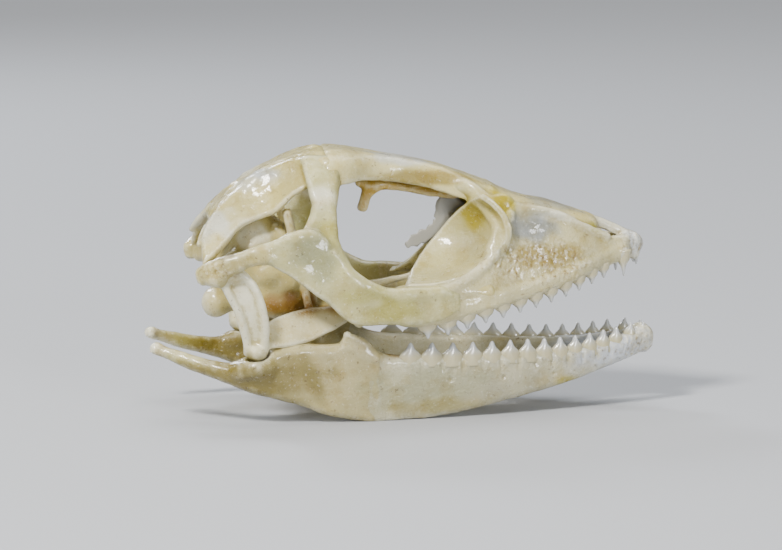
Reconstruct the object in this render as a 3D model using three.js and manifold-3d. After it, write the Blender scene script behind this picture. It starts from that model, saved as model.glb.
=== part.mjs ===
// A life-size skull of a small agamid lizard, jaws open, resting on its lower jaw.
// Millimetres. +X runs to the snout, +Y to the animal's left, +Z up.
// The origin is on the floor, under the middle of the skull's box.
import * as THREE from "three";
import { mergeVertices } from "three/addons/utils/BufferGeometryUtils.js";
import Module from "manifold-3d";

const wasm = await Module();
wasm.setup();

// Driving dimensions
const SUTURE = 0.3; // gap that two touching bones keep
const PLATE = 0.3; // half the thickness of a thin plate of bone
const BEAM = 0.36; // half the thickness of a stout bar of bone
const SNOUT_TIP = 13.4;
const JAW_TIP = 14.1;
const JAW_HEEL = -14.02; // tip of the process behind the jaw joint
const DOME = 0.6; // the longest rounded end of a bar
const JOINT = { x: -8.45, w: 5.5, z: 3.95 }; // where the quadrate sits in the lower jaw
const CONDYLE = { x: -10.2, z: 6, radius: 0.82 };
const FORAMEN = { x: -10.4, z: 7.75, radius: 0.75, depth: 1.6 }; // the hole for the spinal cord
const FLAT = -0.12; // the jaw's keel dips to here and is worn flat at the floor

// Teeth: the rows start at the front and their pitch grows to the rear.
const UPPER_TEETH = { count: 12, first: 10.91, pitch: 0.72, growth: 0.04, crown: 0.5 };
const LOWER_TEETH = { count: 13, first: 11.72, pitch: 0.76, growth: 0.04, crown: 0.6 };
const TOOTH = { along: 0.78, across: 0.46, root: 0.45 };
const FANG = { along: 0.42, across: 0.4, root: 0.5 };

const BONE_COLOUR = 0xe6dcbc;
const TOOTH_BONE_COLOUR = 0xece7d6;
const STAINED_COLOUR = 0xdcc791;

// Driving curves: [x, value] pairs, read at any x.
function profile(pairs) {
  const slope = (i) => {
    const [before, after] = [pairs[Math.max(i - 1, 0)], pairs[Math.min(i + 1, pairs.length - 1)]];
    return (after[1] - before[1]) / (after[0] - before[0]);
  };
  return (x) => {
    const last = pairs.length - 2;
    const found = pairs.findIndex(([end], i) => i > 0 && x <= end);
    const i = found < 0 ? last : Math.max(found - 1, 0);
    const [[x0, v0], [x1, v1]] = [pairs[i], pairs[i + 1]];
    const span = x1 - x0;
    const s = THREE.MathUtils.clamp((x - x0) / span, 0, 1);
    const [m0, m1] = [slope(i) * span, slope(i + 1) * span];
    const bend = (s - 1) * ((s - 1) * m0 + s * m1);
    return v0 + (v1 - v0) * s * s * (3 - 2 * s) + s * bend;
  };
}

const roofLine = profile([
  [-11.6, 10.2], [-10, 11.75], [-8.7, 12.75], [-6.6, 13.95], [-4.4, 14.45], [-1.2, 14.05],
  [1.5, 13.55], [4.3, 12.6], [6.2, 11.8], [8, 11.38], [10.5, 10.5], [12.6, 9.72], [13.4, 9.2],
]);
const cheekWidth = profile([
  [-3.5, 6.35], [-1, 5.85], [1.2, 5.35], [3.5, 4.8], [5.6, 4.2], [7.5, 3.6], [9.1, 3],
  [11.3, 1.9], [12.4, 1.2], [13.4, 0.6],
]);
const gumLine = profile([
  [-3.6, 5.48], [-0.3, 5.34], [1.2, 5.3], [3.5, 5.83], [5.6, 6.3], [7.5, 6.75], [9.1, 7.23],
  [11.3, 8.05], [12.4, 8.35], [13.4, 8.4],
]);
const jawWidth = profile([
  [-13.7, 3.05], [-12.2, 3.85], [-10.8, 4.55], [-9.6, 5.05], [-8.5, 5.3], [-6.3, 5.1], [-3, 4.8],
  [0.8, 4.2], [3, 3.8], [5.3, 3.3], [7.5, 2.65], [9.5, 2.05], [11.2, 1.5], [12.6, 0.95], [13.6, 0.3],
]);
const jawTop = profile([
  [-13.7, 4.15], [-12.2, 3.74], [-10.5, 3.4], [-9.3, 3.4], [-8.5, 3.7], [-6.9, 4.26], [-5, 4.2],
  [-3.4, 4.35], [-1.2, 3.6], [1, 3.45], [5.8, 3.42], [9.5, 3.5], [12.2, 3.95], [13.6, 4.3],
]);
const jawBase = profile([
  [-13.7, 3.66], [-12.5, 3.1], [-10.5, 2.4], [-8.5, 1.65], [-6.5, 1.1], [-4.6, 0.4], [-3.2, FLAT],
  [1.6, FLAT], [3.6, 0.39], [5.8, 0.84], [8, 1.3], [10.2, 1.89], [11.9, 2.46], [13.6, 2.95],
]);

// Solids

function solidOf(geometry) {
  const bare = geometry.index ? geometry.toNonIndexed() : geometry.clone();
  bare.deleteAttribute("normal");
  bare.deleteAttribute("uv");
  const merged = mergeVertices(bare, 1e-4);
  const mesh = new wasm.Mesh({
    numProp: 3,
    vertProperties: merged.attributes.position.array,
    triVerts: new Uint32Array(merged.index.array),
  });
  return new wasm.Manifold(mesh);
}

function joined(solids) {
  return solids.reduce((all, one) => all.add(one));
}

function largest(solid) {
  return solid.decompose().sort((a, b) => b.volume() - a.volume())[0];
}

// One closed ring of a bone's section: a plate of given half-thickness and half-width, whose
// two edges droop away from its thin axis by droop. edge is 1 for an ellipse and less for a slab.
function ringPoints(centre, thinAxis, wideAxis, [thick, wide, droop], sides, edge) {
  return Array.from({ length: sides }, (_, j) => {
    const turn = (2 * Math.PI * j) / sides;
    const [across, facing] = [Math.sin(turn), Math.cos(turn)];
    const height = thick * Math.sign(facing) * Math.abs(facing) ** edge;
    const slope = (-2 * droop * across) / wide;
    const length = Math.hypot(1, slope);
    return centre
      .clone()
      .addScaledVector(wideAxis, wide * across - (slope / length) * height)
      .addScaledVector(thinAxis, height / length - droop * across * across);
  });
}

// A bar or plate of bone through stations [x, w, z, half-thickness, half-width, droop].
// thin is the direction that its thin axis leans to, one for all stations or one for each.
// face fixes the direction that every section faces, where that isn't the path's own.
// grow makes it bigger all round, for the room that a neighbour leaves it.
function bar(stations, { thin, face = null, sides = 8, steps = 2, edge = 0.8 }, grow = 0) {
  const spline = (vectors) => new THREE.CatmullRomCurve3(vectors, false, "catmullrom", 0.5);
  const path = spline(stations.map(([x, w, z]) => new THREE.Vector3(x, w, z)));
  const sizes = spline(stations.map(([, , , t, a, d = 0]) => new THREE.Vector3(t, a, d)));
  const leans = Array.isArray(thin[0]) ? thin : stations.map(() => thin);
  const leaning = spline(leans.map((v) => new THREE.Vector3(...v)));
  const count = (stations.length - 1) * steps;
  const points = [];
  const addRing = (u, beyond, scale) => {
    const tangent = path.getTangent(u);
    const facing = face ? new THREE.Vector3(...face) : tangent;
    const thinAxis = leaning.getPoint(u);
    thinAxis.addScaledVector(facing, -thinAxis.dot(facing)).normalize();
    const wideAxis = facing.clone().cross(thinAxis);
    const [t, a, droop] = sizes.getPoint(u).toArray();
    const wide = a * scale + grow;
    const size = [t * scale + grow, wide, droop * (wide / a) ** 2];
    const centre = path.getPoint(u).addScaledVector(tangent, beyond);
    points.push(...ringPoints(centre, thinAxis, wideAxis, size, sides, edge));
  };
  const domeOf = (station) => Math.min(station[3], station[4], DOME);
  const [startDome, endDome] = [domeOf(stations[0]), domeOf(stations.at(-1))];
  addRing(0, -grow - 0.65 * startDome, 0.72);
  addRing(0, -grow, 1);
  for (let i = 1; i < count; i++) addRing(i / count, 0, 1);
  addRing(1, grow, 1);
  addRing(1, grow + 0.65 * endDome, 0.72);
  const poleAt = (u, beyond) => path.getPoint(u).addScaledVector(path.getTangent(u), beyond);
  const poles = [poleAt(0, -grow - startDome), poleAt(1, grow + endDome)];
  return closedLoft(points, sides, poles);
}

// Rings of equal length, one after another, closed by a pole at each end.
function closedLoft(points, sides, poles) {
  const rings = points.length / sides;
  const [first, last] = [points.length, points.length + 1];
  const index = [];
  for (let j = 0; j < sides; j++) {
    const k = (j + 1) % sides;
    index.push(first, k, j);
    for (let i = 0; i < rings - 1; i++) {
      const [here, next] = [i * sides, (i + 1) * sides];
      index.push(here + j, here + k, next + k, here + j, next + k, next + j);
    }
    index.push((rings - 1) * sides + j, (rings - 1) * sides + k, last);
  }
  const geometry = new THREE.BufferGeometry().setFromPoints([...points, ...poles]);
  geometry.setIndex(index);
  const solid = solidOf(geometry);
  if (solid.volume() > 0) return solid;
  geometry.setIndex(index.reverse());
  return solidOf(geometry);
}

// A wall between a lower and an upper rail, each giving [w, z] at any x.
function wall(xs, lower, upper, thick, options, grow = 0) {
  const stations = [];
  const thin = [];
  for (const x of xs) {
    const [[w0, z0], [w1, z1]] = [lower(x), upper(x)];
    const height = Math.hypot(w1 - w0, z1 - z0);
    stations.push([x, (w0 + w1) / 2, (z0 + z1) / 2, thick, height / 2]);
    thin.push([0, (z1 - z0) / height, (w0 - w1) / height]);
  }
  return bar(stations, { thin, face: [1, 0, 0], ...options }, grow);
}

// A straight round rod of bone.
function rod(from, to, radius, grow = 0) {
  const stations = [from, to].map((p) => [...p, radius, radius]);
  return bar(stations, { thin: [0.3, 0.9, 0.3], sides: 7, steps: 1, edge: 1 }, grow);
}

// One tooth: a four-sided pyramid with its edges in the row and its root sunk in the bone.
function tooth(base, along, point, size, crown, grow = 0) {
  const axis = new THREE.Vector3(...point).normalize();
  const row = new THREE.Vector3(...along);
  row.addScaledVector(axis, -row.dot(axis)).normalize();
  const across = row.clone().cross(axis);
  const height = crown + size.root;
  const cone = new THREE.ConeGeometry(1, 1, 4);
  cone.scale(size.along + grow, height + 2 * grow, size.across + grow);
  const place = new THREE.Matrix4().makeBasis(row, axis, across);
  const middle = new THREE.Vector3(...base).addScaledVector(axis, crown - height / 2);
  cone.applyMatrix4(place.setPosition(middle));
  return solidOf(cone);
}

// A row of teeth along an edge that gives [w, z] at any x.
function toothRow({ count, first, pitch, growth, crown }, edge, point) {
  const step = 0.1;
  return Array.from({ length: count }, (_, i) => {
    const x = first - i * pitch - (growth * i * (i - 1)) / 2;
    const [[w, z], [w1, z1]] = [edge(x), edge(x + step)];
    const swell = 0.85 + 0.15 * Math.sin((Math.PI * (i + 1)) / count);
    return tooth([x, w, z], [step, w1 - w, z1 - z], point, TOOTH, crown * swell);
  });
}

// Bones, in the order in which they keep their full form: a later one is cut clear of the
// earlier ones. Each function gives a bone's solids, grown where room for it is needed.
// A bone at the midline is whole, and a paired one is made on the left.
const UPRIGHT = [0, 0, 1];
const SIDEWAYS = [0, 1, 0];
const FORWARD = [1, 0, 0];

// Roof stations hang from the roof line: [x, half-width, half-thickness, droop].
function roof(stations, options, grow) {
  const placed = stations.map(([x, a, t, droop]) => [x, 0, roofLine(x) - t, t, a, droop]);
  return bar(placed, { thin: UPRIGHT, face: FORWARD, sides: 12, ...options }, grow);
}

function mirrored(stations) {
  return stations.map(([x, w, ...rest]) => [x, -w, ...rest]);
}

// The same bar on both sides of a midline bone.
function pairOfBars(stations, options, grow) {
  const [x, y, z] = options.thin;
  return [
    bar(stations, options, grow),
    bar(mirrored(stations), { ...options, thin: [x, -y, z] }, grow),
  ];
}

const frontal = (grow) => [
  roof(
    [
      [4.9, 2.1, 0.4, 0.3], [3.4, 2.05, 0.5, 0.3], [1.6, 1.65, 0.58, 0.25], [-0.3, 1.55, 0.58, 0.25],
      [-2, 2.1, 0.5, 0.45], [-3.3, 3.1, 0.42, 0.85], [-4.1, 3.5, 0.4, 1.1],
    ],
    {},
    grow,
  ),
];

const parietal = (grow) => [
  roof(
    [
      [-3.9, 3.4, PLATE, 1.15], [-5.7, 2.9, PLATE, 1.9], [-7.3, 2.6, PLATE, 2.3],
      [-8.7, 2.6, PLATE, 2.05], [-10, 2.4, PLATE, 1.35], [-10.9, 1.9, PLATE, 0.75],
    ],
    { edge: 0.5 },
    grow,
  ),
  ...pairOfBars(
    [
      [-9.2, 1.9, 11.3, PLATE, 0.9], [-10.4, 3, 10.5, PLATE, 0.95],
      [-11, 4.2, 9.55, PLATE, 0.75], [-11.15, 5.3, 8.7, PLATE, 0.55],
    ],
    { thin: [-0.6, 0.3, 0.7] },
    grow,
  ),
];

const nasals = (grow) => [
  roof(
    [
      [4.3, 2.1, PLATE, 0.35], [6.2, 2.35, PLATE, 0.55], [8, 2.1, PLATE, 0.6],
      [9.5, 1.75, PLATE, 0.55], [10.4, 1.3, PLATE, 0.35],
    ],
    { sides: 12, edge: 0.6 },
    grow,
  ),
];

const premaxilla = (grow) => {
  const body = bar(
    [[12, 0, 8.95, 0.5, 1.1], [12.7, 0, 8.95, 0.6, 0.95], [SNOUT_TIP - 0.35, 0, 8.95, 0.48, 0.6]],
    { thin: UPRIGHT, face: FORWARD },
    grow,
  );
  const nasalProcess = roof(
    [[13, 0.5, 0.3, 0.1], [11.6, 0.42, 0.28, 0.05], [10, 0.5, 0.27, 0.05]],
    { sides: 8 },
    grow,
  );
  const fangs = [-1, 1].flatMap((side) => [
    tooth([12.75, side * 0.42, 8.4], FORWARD, [0.25, 0, -1], FANG, 0.5, grow),
    tooth([12, side * 1.25, 8.4], FORWARD, [0, 0.1 * side, -1], FANG, 1.05, grow),
  ]);
  return [body, nasalProcess, ...fangs];
};

const braincase = (grow) => {
  const capsule = bar(
    [
      [-4.9, 0, 7.4, 0.9, 1.2], [-6.1, 0, 8.2, 1.8, 2], [-7.6, 0, 8.5, 2.2, 2.5],
      [-8.9, 0, 8.5, 2.2, 2.45], [-9.9, 0, 8.4, 1.6, 1.8],
    ],
    { thin: UPRIGHT, face: FORWARD, sides: 12, edge: 1 },
    grow,
  );
  const base = bar(
    [
      [-3, 0, 6.45, 0.35, 0.6], [-5, 0, 6.35, 0.6, 1.3], [-7.5, 0, 6.3, 0.75, 1.6],
      [-9.2, 0, 6.1, 0.6, 0.85], [CONDYLE.x, 0, CONDYLE.z, CONDYLE.radius - 0.08, CONDYLE.radius],
    ],
    { thin: UPRIGHT, steps: 1, edge: 1 },
    grow,
  );
  const rostrum = rod([-2.8, 0, 6.5], [0.6, 0, 7.3], 0.26, grow);
  const crest = rod([-8.6, 0, 10], [-9, 0, 12.2], 0.5, grow);
  const paroccipitals = pairOfBars(
    [[-8.8, 1.6, 8.4, 0.6, 0.8], [-9.9, 3.6, 8.35, 0.42, 0.62], [-10.7, 5.2, 8.15, 0.42, 0.6]],
    { thin: FORWARD },
    grow,
  );
  const basipterygoids = pairOfBars(
    [[-4.3, 0.5, 6.3, 0.3, 0.6], [-4.6, 1.7, 5.9, 0.3, 0.55], [-4.8, 2.6, 5.6, 0.3, 0.6]],
    { thin: UPRIGHT },
    grow,
  );
  return [capsule, base, rostrum, crest, ...paroccipitals, ...basipterygoids];
};

const foramenMagnum = () => {
  const hole = new THREE.CylinderGeometry(FORAMEN.radius, FORAMEN.radius, 2 * FORAMEN.depth, 12);
  hole.rotateZ(Math.PI / 2);
  hole.translate(FORAMEN.x, 0, FORAMEN.z);
  return solidOf(hole);
};

const vomer = (grow) => [
  bar(
    [
      [12.1, 0, 8.55, PLATE, 0.7], [9.5, 0, 8, PLATE, 1.2], [6.5, 0, 7.65, PLATE, 1.6],
      [4.9, 0, 7.5, PLATE, 1.5],
    ],
    { thin: UPRIGHT, face: FORWARD, steps: 1 },
    grow,
  ),
];

const orbitosphenoid = (grow) => [
  bar(
    [[3.2, 0, 12, 0.25, 0.32], [0.5, 0, 12.1, 0.25, 0.3], [-2.2, 0, 12.35, 0.25, 0.28]],
    { thin: UPRIGHT, edge: 1 },
    grow,
  ),
  rod([-1.9, 0, 12.2], [-2.15, 0, 11], 0.26, grow),
];

const maxillaTopWidth = profile([
  [-0.8, 5.6], [1, 5.05], [2.5, 4.55], [4, 4], [4.8, 3.45], [5.4, 2.9], [6.4, 2.4], [8, 2.1],
  [9.6, 1.75], [11.2, 1.25], [12.4, 0.8],
]);
const maxillaTop = profile([
  [-0.8, 7.35], [1, 7.32], [2.5, 7.65], [4, 8.65], [4.8, 9.6], [5.4, 11], [6.4, 11.45], [8, 11.05],
  [9.6, 10.3], [11.2, 9.5], [12.4, 9.5],
]);
const gumEdge = (x) => [cheekWidth(x) - 0.35, gumLine(x)];

const maxilla = (grow) => {
  const upper = (x) => [maxillaTopWidth(x), maxillaTop(x)];
  const lower = (x) => [cheekWidth(x) - 0.2, gumLine(x)];
  const xs = [12.2, 11.2, 10.4, 9.6, 8, 6.6, 5.6, 5, 4.4, 3.6, 2.5, 1, -0.6];
  const facial = wall(xs, lower, upper, PLATE, { steps: 1, sides: 10, edge: 0.6 }, grow);
  const shelf = bar(
    [12, 9.6, 7, 4.4, 2, 0.4].map((x) => [x, cheekWidth(x) - 0.45, gumLine(x) + 0.42, BEAM, 0.5]),
    { thin: SIDEWAYS, face: FORWARD, steps: 1 },
    grow,
  );
  if (grow) return [facial, shelf];
  return [facial, shelf, ...toothRow(UPPER_TEETH, gumEdge, [0, 0.12, -1])];
};

const prefrontal = (grow) => {
  const orbitWall = bar(
    [
      [3.5, 1.9, 12.2, PLATE, 1], [3.75, 2.2, 11.2, PLATE, 1.5], [3.85, 2.5, 10, PLATE, 1.75],
      [3.7, 2.7, 8.8, PLATE, 1.75], [3.3, 2.9, 7.6, PLATE, 1.45],
    ],
    { thin: [-0.59, 0.81, 0], edge: 0.6 },
    grow,
  );
  const rim = bar(
    [
      [3.6, 2.2, 12.25, BEAM, 0.4], [4.5, 2.85, 11.25, BEAM, 0.42], [4.85, 3.35, 10.2, BEAM, 0.4],
      [4.4, 3.75, 9, BEAM, 0.4],
    ],
    { thin: SIDEWAYS },
    grow,
  );
  return [orbitWall, rim];
};

const jugal = (grow) => [
  bar(
    [
      [0.6, 5.4, 6.33, BEAM, 0.98], [-1.5, 5.8, 6.45, BEAM, 1.03], [-2.75, 6.1, 6.75, BEAM, 1.32],
      [-3.5, 6.25, 7.4, PLATE, 1.32], [-4.2, 6.35, 8.2, PLATE, 1.3], [-5, 6.2, 9.2, PLATE, 1.4],
    ],
    { thin: SIDEWAYS, sides: 10, edge: 0.6 },
    grow,
  ),
];

const postorbital = (grow) => [
  bar(
    [
      [-4.65, 3.1, 13.5, BEAM, 0.95], [-4.72, 3.9, 12.5, BEAM, 0.68], [-4.75, 4.6, 11.4, BEAM, 0.62],
      [-4.95, 5.4, 10.4, BEAM, 0.95], [-5.3, 6, 9.6, PLATE, 1.2],
    ],
    { thin: SIDEWAYS },
    grow,
  ),
  bar(
    [
      [-4.8, 6, 9.5, PLATE, 1.35], [-6, 6.25, 9.45, PLATE, 1.2], [-6.8, 6.45, 9.52, PLATE, 0.85],
      [-7.5, 6.5, 9.52, PLATE, 0.5], [-8.4, 6.55, 9.4, PLATE, 0.4],
    ],
    { thin: SIDEWAYS },
    grow,
  ),
];

const squamosal = (grow) => [
  bar(
    [
      [-7.9, 6.55, 9.5, BEAM, 0.38], [-9.1, 6.55, 9.15, BEAM, 0.42], [-10, 6.4, 8.75, BEAM, 0.55],
      [-10.8, 6.05, 8.35, 0.42, 0.62], [-11.25, 5.7, 8.15, 0.42, 0.55],
    ],
    { thin: SIDEWAYS },
    grow,
  ),
];

const quadrate = (grow) => [
  bar(
    [
      [-9.75, 6, 8.3, 0.4, 0.55], [-9.3, 6.1, 7.5, BEAM, 0.75, 0.3], [-8.8, 6.05, 6.4, BEAM, 0.7, 0.4],
      [-8.5, 5.8, 5.2, BEAM, 0.65, 0.3], [JOINT.x, JOINT.w, JOINT.z, 0.5, 0.6],
    ],
    { thin: [0, -1, 0], sides: 12 },
    grow,
  ),
];

const palatine = (grow) => [
  bar(
    [
      [4.9, 2.3, 7.4, PLATE, 1.1], [3, 2.5, 7.1, PLATE, 1.25], [1.2, 2.3, 6.85, PLATE, 0.95],
      [-0.4, 2.1, 6.6, PLATE, 0.75],
    ],
    { thin: UPRIGHT, face: FORWARD, steps: 1 },
    grow,
  ),
  bar([[3.2, 2.6, 7.1, PLATE, 0.7], [3.5, 4.3, 6.9, PLATE, 0.8]], { thin: UPRIGHT }, grow),
];

const pterygoid = (grow) => [
  bar(
    [
      [0.2, 2.1, 6.65, PLATE, 0.75], [-1.8, 2.4, 6.3, PLATE, 1], [-3.4, 2.8, 5.9, PLATE, 0.75],
      [-4.9, 3.3, 5.45, PLATE, 0.55],
    ],
    { thin: UPRIGHT, face: FORWARD, steps: 1 },
    grow,
  ),
  bar(
    [
      [-4.2, 3.1, 5.5, PLATE, 0.45], [-5.6, 3.8, 5.2, PLATE, 0.7], [-7, 4.7, 5, PLATE, 0.7],
      [-8.1, 5.4, 4.8, PLATE, 0.6],
    ],
    { thin: [0.5, 0.85, 0], steps: 1 },
    grow,
  ),
];

const ectopterygoid = (grow) => [
  bar(
    [[-2, 2.7, 6.15, PLATE, 0.65], [-1.6, 4, 5.75, PLATE, 0.5], [-1, 5.4, 5.8, PLATE, 0.65]],
    { thin: UPRIGHT },
    grow,
  ),
];

const epipterygoid = (grow) => [rod([-5.4, 3.6, 5.95], [-6.5, 2.7, 11.1], 0.26, grow)];

const KEEL_IN = 0.94; // the jaw's keel is this much nearer the midline than its rim
const jawRails = [(x) => [jawWidth(x) * KEEL_IN, jawBase(x)], (x) => [jawWidth(x), jawTop(x)]];
const lowerGum = (x) => [jawWidth(x) + 0.12, jawTop(x) - 0.05];

const dentary = (grow) => {
  const xs = [JAW_TIP - 0.5, 12.6, 11.2, 9.5, 7.5, 5.3, 3, 0.8, -1.2, -2.2];
  const body = wall(xs, ...jawRails, 0.5, { steps: 1, sides: 10, edge: 0.7 }, grow);
  if (grow) return [body];
  const fangs = [
    tooth([13.35, 0.45, 4.1], FORWARD, [0.15, 0, 1], FANG, 0.6),
    tooth([12.55, 0.95, 3.9], FORWARD, [0, 0.1, 1], FANG, 0.85),
  ];
  return [body, ...toothRow(LOWER_TEETH, lowerGum, [0, 0.08, 1]), ...fangs];
};

const surangular = (grow) => {
  const xs = [-1.5, -3, -4.6, -6.3, -7.6, -8.6, -9.6, -10.8, -12.2, JAW_HEEL + 0.27];
  const body = wall(xs, ...jawRails, 0.5, { steps: 1, sides: 10, edge: 0.8 }, grow);
  const cup = bar(
    [[-7.6, 5.2, 3.2, 0.45, 0.6], [-8.5, 5.35, 3.25, 0.5, 0.85], [-9.5, 5.1, 2.95, 0.35, 0.6]],
    { thin: UPRIGHT, face: FORWARD },
    grow,
  );
  return [body, cup];
};

const coronoid = (grow) => [
  bar(
    [[-3.2, 4.8, 3.6, BEAM, 0.85], [-3.5, 4.9, 4.4, PLATE, 0.6], [-3.65, 5, 4.85, 0.27, 0.3]],
    { thin: SIDEWAYS },
    grow,
  ),
];

const MIDLINE = { frontal, parietal, nasals, premaxilla, braincase, vomer, orbitosphenoid };
const PAIRED = {
  maxilla, prefrontal, jugal, postorbital, squamosal, quadrate, palatine, pterygoid,
  ectopterygoid, epipterygoid, dentary, surangular, coronoid,
};
const STAINED = ["braincase", "vomer", "palatine", "pterygoid", "ectopterygoid", "epipterygoid"];
const TOOTHED = ["premaxilla", "maxilla", "dentary"];

// Half-spaces, as big boxes, that trim a bone.
const BIG = 100;
const belowFloor = () => solidOf(new THREE.BoxGeometry(BIG, BIG, BIG).translate(0, 0, -BIG / 2));
const acrossMidline = () =>
  solidOf(new THREE.BoxGeometry(BIG, BIG, BIG).translate(0, SUTURE / 2 - BIG / 2, 0));

const CUTS = {
  braincase: [foramenMagnum],
  dentary: [belowFloor, acrossMidline],
  surangular: [belowFloor],
};

function boxesMeet(a, b) {
  const [p, q] = [a.boundingBox(), b.boundingBox()];
  return [0, 1, 2].every((i) => p.min[i] < q.max[i] && q.min[i] < p.max[i]);
}

// Every bone, cut clear of the ones before it.
function carveBones(bones) {
  const rooms = [];
  const carved = {};
  for (const [name, make] of Object.entries(bones)) {
    let solid = joined(make(0));
    for (const room of rooms) if (boxesMeet(solid, room)) solid = solid.subtract(room);
    for (const cut of CUTS[name] ?? []) solid = solid.subtract(cut());
    carved[name] = largest(solid);
    rooms.push(joined(make(SUTURE)));
  }
  return carved;
}

function geometryOf(solid) {
  const { vertProperties, triVerts } = solid.getMesh();
  const geometry = new THREE.BufferGeometry();
  geometry.setAttribute("position", new THREE.BufferAttribute(vertProperties, 3));
  geometry.setIndex(new THREE.BufferAttribute(triVerts, 1));
  return geometry;
}

function mirroredGeometry(geometry) {
  const other = geometry.clone().scale(1, -1, 1);
  other.setIndex([...geometry.index.array].reverse());
  return other;
}

function materialOf(name) {
  const stained = STAINED.includes(name) ? STAINED_COLOUR : BONE_COLOUR;
  const color = TOOTHED.includes(name) ? TOOTH_BONE_COLOUR : stained;
  return new THREE.MeshStandardMaterial({ color, roughness: 0.45, metalness: 0 });
}

function buildSkull() {
  const skull = new THREE.Group();
  const addBone = (geometry, name, bone) => {
    geometry.computeVertexNormals();
    const mesh = new THREE.Mesh(geometry, materialOf(bone));
    mesh.name = name;
    skull.add(mesh);
  };
  const carved = carveBones({ ...MIDLINE, ...PAIRED });
  for (const [bone, solid] of Object.entries(carved)) {
    const geometry = geometryOf(solid);
    if (bone in MIDLINE) {
      addBone(geometry, bone, bone);
    } else {
      addBone(geometry, `${bone}_left`, bone);
      addBone(mirroredGeometry(geometry), `${bone}_right`, bone);
    }
  }
  return skull;
}

export default buildSkull();
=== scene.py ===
# A dry, cleaned lizard skull, bone by bone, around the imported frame.
# Lengths are millimetres until a mesh is made. +X runs to the snout, +Y to the left, +Z up.
# Bones are shaped as distances on a grid of the left half, and the right half mirrors it.
import math
from collections import namedtuple

import bpy
import numpy as np
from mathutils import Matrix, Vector


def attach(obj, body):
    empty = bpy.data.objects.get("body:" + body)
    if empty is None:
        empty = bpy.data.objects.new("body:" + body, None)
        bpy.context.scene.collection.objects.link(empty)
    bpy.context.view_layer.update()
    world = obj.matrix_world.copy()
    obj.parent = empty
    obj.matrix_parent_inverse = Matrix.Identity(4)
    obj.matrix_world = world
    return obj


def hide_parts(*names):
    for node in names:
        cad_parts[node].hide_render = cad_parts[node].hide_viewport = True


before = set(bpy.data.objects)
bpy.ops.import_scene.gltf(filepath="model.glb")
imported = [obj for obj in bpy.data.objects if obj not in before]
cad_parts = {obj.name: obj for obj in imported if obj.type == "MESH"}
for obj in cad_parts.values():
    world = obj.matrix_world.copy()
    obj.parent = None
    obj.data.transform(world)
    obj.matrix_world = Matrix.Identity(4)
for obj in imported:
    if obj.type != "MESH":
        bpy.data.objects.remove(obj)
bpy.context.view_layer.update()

MM = 0.001
STEP = 0.07  # side of a grid cell
MARGIN = 0.5  # free room around each solid
SIDE_ROOM = 5  # cells kept beyond the midline
FUSE = 0.1  # how softly neighbouring bones run into each other
MIDLINE_GAP = 0.02  # paired bones stop this short of the midline
LAP = 0.12  # how far a bone reaches under its neighbour past their suture
DIVE = 0.6  # how steeply it dives there
ASKEW = (0.3, 0.9, 0.3)  # along no rod
UPRIGHT = (0, 0, 1)
SIDEWAYS = (0, 1, 0)
FORWARD = (1, 0, 0)
rng = np.random.default_rng(11)

Solid = namedtuple("Solid", "distance low high")


# Curves and noise

def profile(pairs):
    """A smooth curve through (x, value) pairs, read at any x."""
    xs, values = np.array(sorted(pairs), float).T
    slopes = np.gradient(values, xs)

    def read(x):
        i = np.clip(np.searchsorted(xs, x) - 1, 0, len(xs) - 2)
        span = xs[i + 1] - xs[i]
        s = np.clip((x - xs[i]) / span, 0, 1)
        bend = (s - 1) * ((s - 1) * slopes[i] + s * slopes[i + 1]) * span
        return values[i] + (values[i + 1] - values[i]) * s * s * (3 - 2 * s) + s * bend

    return read


def smooth_rows(rows, count):
    """Rows of numbers, resampled along a Catmull-Rom curve."""
    rows = np.array(rows, float)
    last = len(rows) - 1
    u = np.linspace(0, last, count)
    i = np.minimum(u.astype(int), last - 1)
    s = (u - i)[:, None]
    before, here = rows[np.maximum(i - 1, 0)], rows[i]
    there, after = rows[i + 1], rows[np.minimum(i + 2, last)]
    cubic = (3 * here - before - 3 * there + after) * s**3
    square = (2 * before - 5 * here + 4 * there - after) * s**2
    return here + 0.5 * ((there - before) * s + square + cubic)


def unit(vectors):
    return vectors / np.linalg.norm(vectors, axis=-1, keepdims=True)


def ripple(length, waves=10):
    """Smooth noise from -1 to 1 whose swells are about this long."""
    ways = unit(rng.normal(size=(waves, 3))) * (2 * np.pi / length)
    ways *= rng.uniform(0.6, 1.5, (waves, 1))
    phases = rng.uniform(0, 2 * np.pi, waves)

    def read(points):
        return np.sin(points @ ways.T + phases).sum(axis=-1) / math.sqrt(2 * waves)

    return read


def smoothstep(low, high, value):
    s = np.clip((value - low) / (high - low), 0, 1)
    return s * s * (3 - 2 * s)


# Solids: each gives the distance to its surface, negative inside

def rounded(p, q, beyond, thick, wide, radius):
    """A box of half-thickness and half-width with rounded edges and ends."""
    dp = np.abs(p) - (thick - radius)
    dq = np.abs(q) - (wide - radius)
    squares = np.maximum(dp, 0) ** 2 + np.maximum(dq, 0) ** 2 + np.maximum(beyond, 0) ** 2
    return np.sqrt(squares) + np.minimum(np.maximum(dp, dq), 0) - radius


def with_droop(stations):
    return np.array([(*station, 0)[:6] for station in stations], float)


def box_round(rows):
    """Lowest and highest corner around stations."""
    reach = np.hypot(rows[:, 3], rows[:, 4])[:, None] + np.abs(rows[:, 5:6])
    return (rows[:, :3] - reach).min(axis=0), (rows[:, :3] + reach).max(axis=0)


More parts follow.
